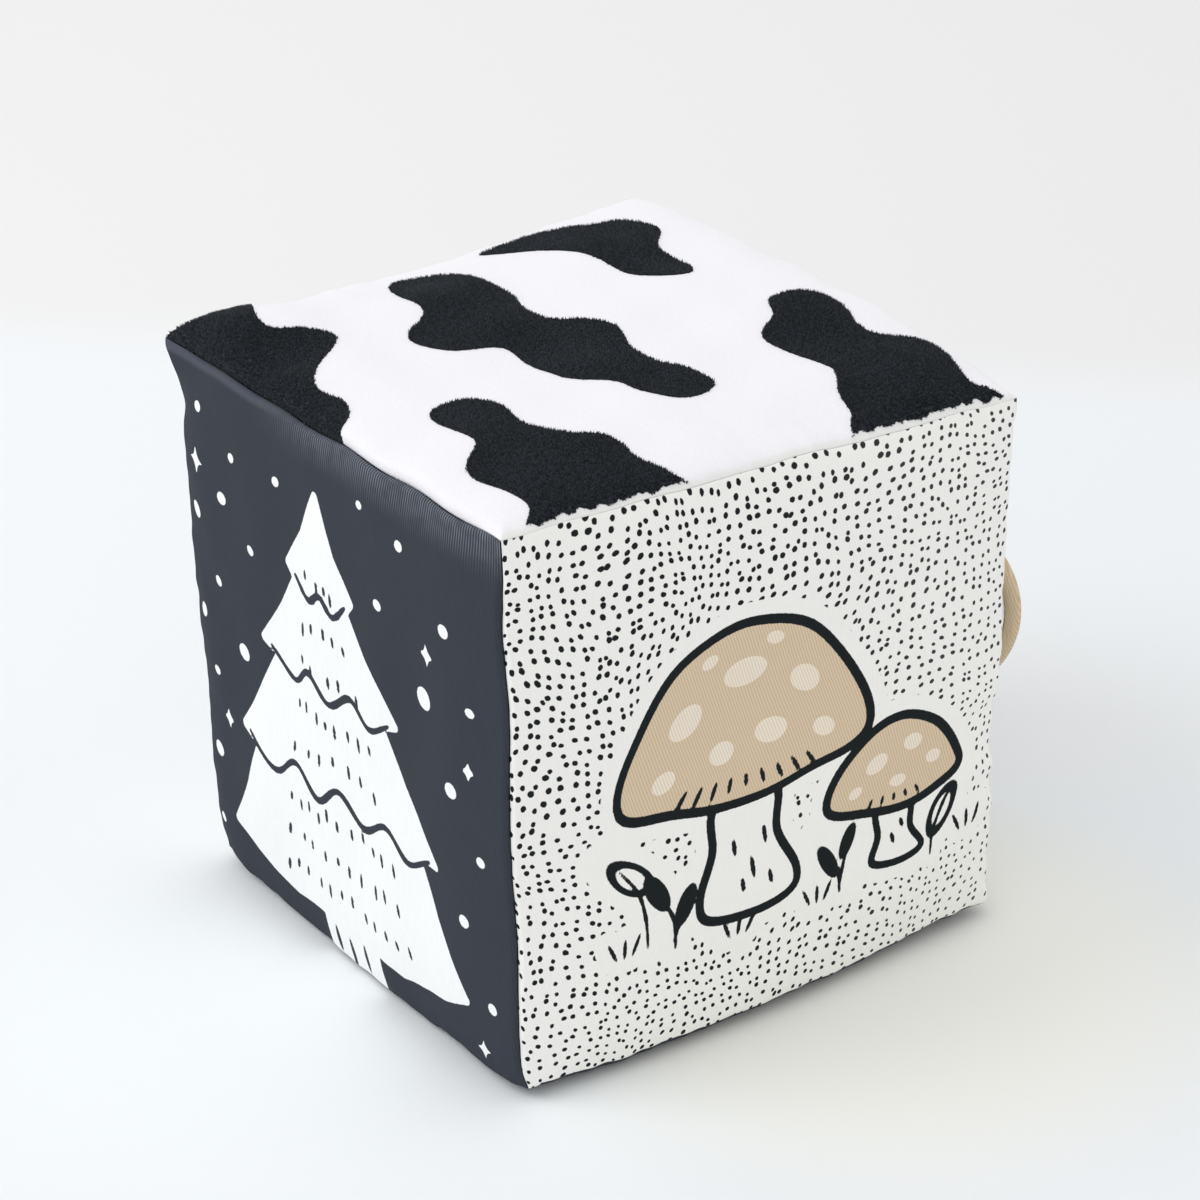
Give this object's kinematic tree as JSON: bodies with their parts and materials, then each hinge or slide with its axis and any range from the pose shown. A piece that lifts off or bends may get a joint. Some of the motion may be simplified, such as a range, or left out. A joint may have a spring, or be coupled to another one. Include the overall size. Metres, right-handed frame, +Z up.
{
  "type": "soft fabric block",
  "caption": "Soft cube-shaped baby toy: a sewn cover of plush and printed cotton over a foam core with a rattle inside, and a fold-back cloth flap on one side.",
  "frame": {"origin": "middle of the flat patch on the bottom panel that the block rests on", "axes": "+Z up to the plush panel, -Y out of the dotted front panel, -X out of the dark panel, +X out of the panel with the flap"},
  "size_m": [0.1916, 0.147, 0.1465],
  "materials": {
    "plush": "short-pile white and black plush",
    "dotted_cotton": "off-white cotton twill printed with small black dots",
    "charcoal_cotton": "dark charcoal cotton twill with white print",
    "plain_cotton": "plain off-white cotton twill",
    "tan_cotton": "tan cotton",
    "foam": "open-cell polyurethane foam",
    "rattle_plastic": "moulded polypropylene",
    "bead_plastic": "moulded plastic bead",
    "crinkle_film": "thin crackling film"
  },
  "bodies": {
    "block": {"top_panel": "plush", "bottom_panel": "charcoal_cotton", "front_panel": "dotted_cotton", "back_panel": "dotted_cotton", "left_panel": "charcoal_cotton", "right_panel": "plain_cotton", "core_lower": "foam", "core_upper": "foam", "rattle_shell_lower": "rattle_plastic", "rattle_shell_upper": "rattle_plastic", "flap_margin": "tan_cotton"},
    "flap": {"flap_face": "tan_cotton", "flap_film": "crinkle_film", "flap_lining": "plain_cotton"},
    "rattle_bead_1": {"rattle_bead_1": "bead_plastic"},
    "rattle_bead_2": {"rattle_bead_2": "bead_plastic"},
    "rattle_bead_3": {"rattle_bead_3": "bead_plastic"}
  },
  "joints": [
    {"name": "flap_hinge", "type": "hinge", "parent": "block", "child": "flap", "pos_m": [0.0763, 0.03, 0.052], "axis": [0, 0, 1], "range_deg": [-31.5, 127]},
    {"name": "bead_1_tumble", "type": "slide", "parent": "block", "child": "rattle_bead_1", "axis": [0, 0, 1], "range_m": [0, 0.0182]},
    {"name": "bead_2_tumble", "type": "slide", "parent": "block", "child": "rattle_bead_2", "axis": [0, 0, 1], "range_m": [0, 0.0182]},
    {"name": "bead_3_tumble", "type": "slide", "parent": "block", "child": "rattle_bead_3", "axis": [0, 0, 1], "range_m": [0, 0.0182]}
  ]
}
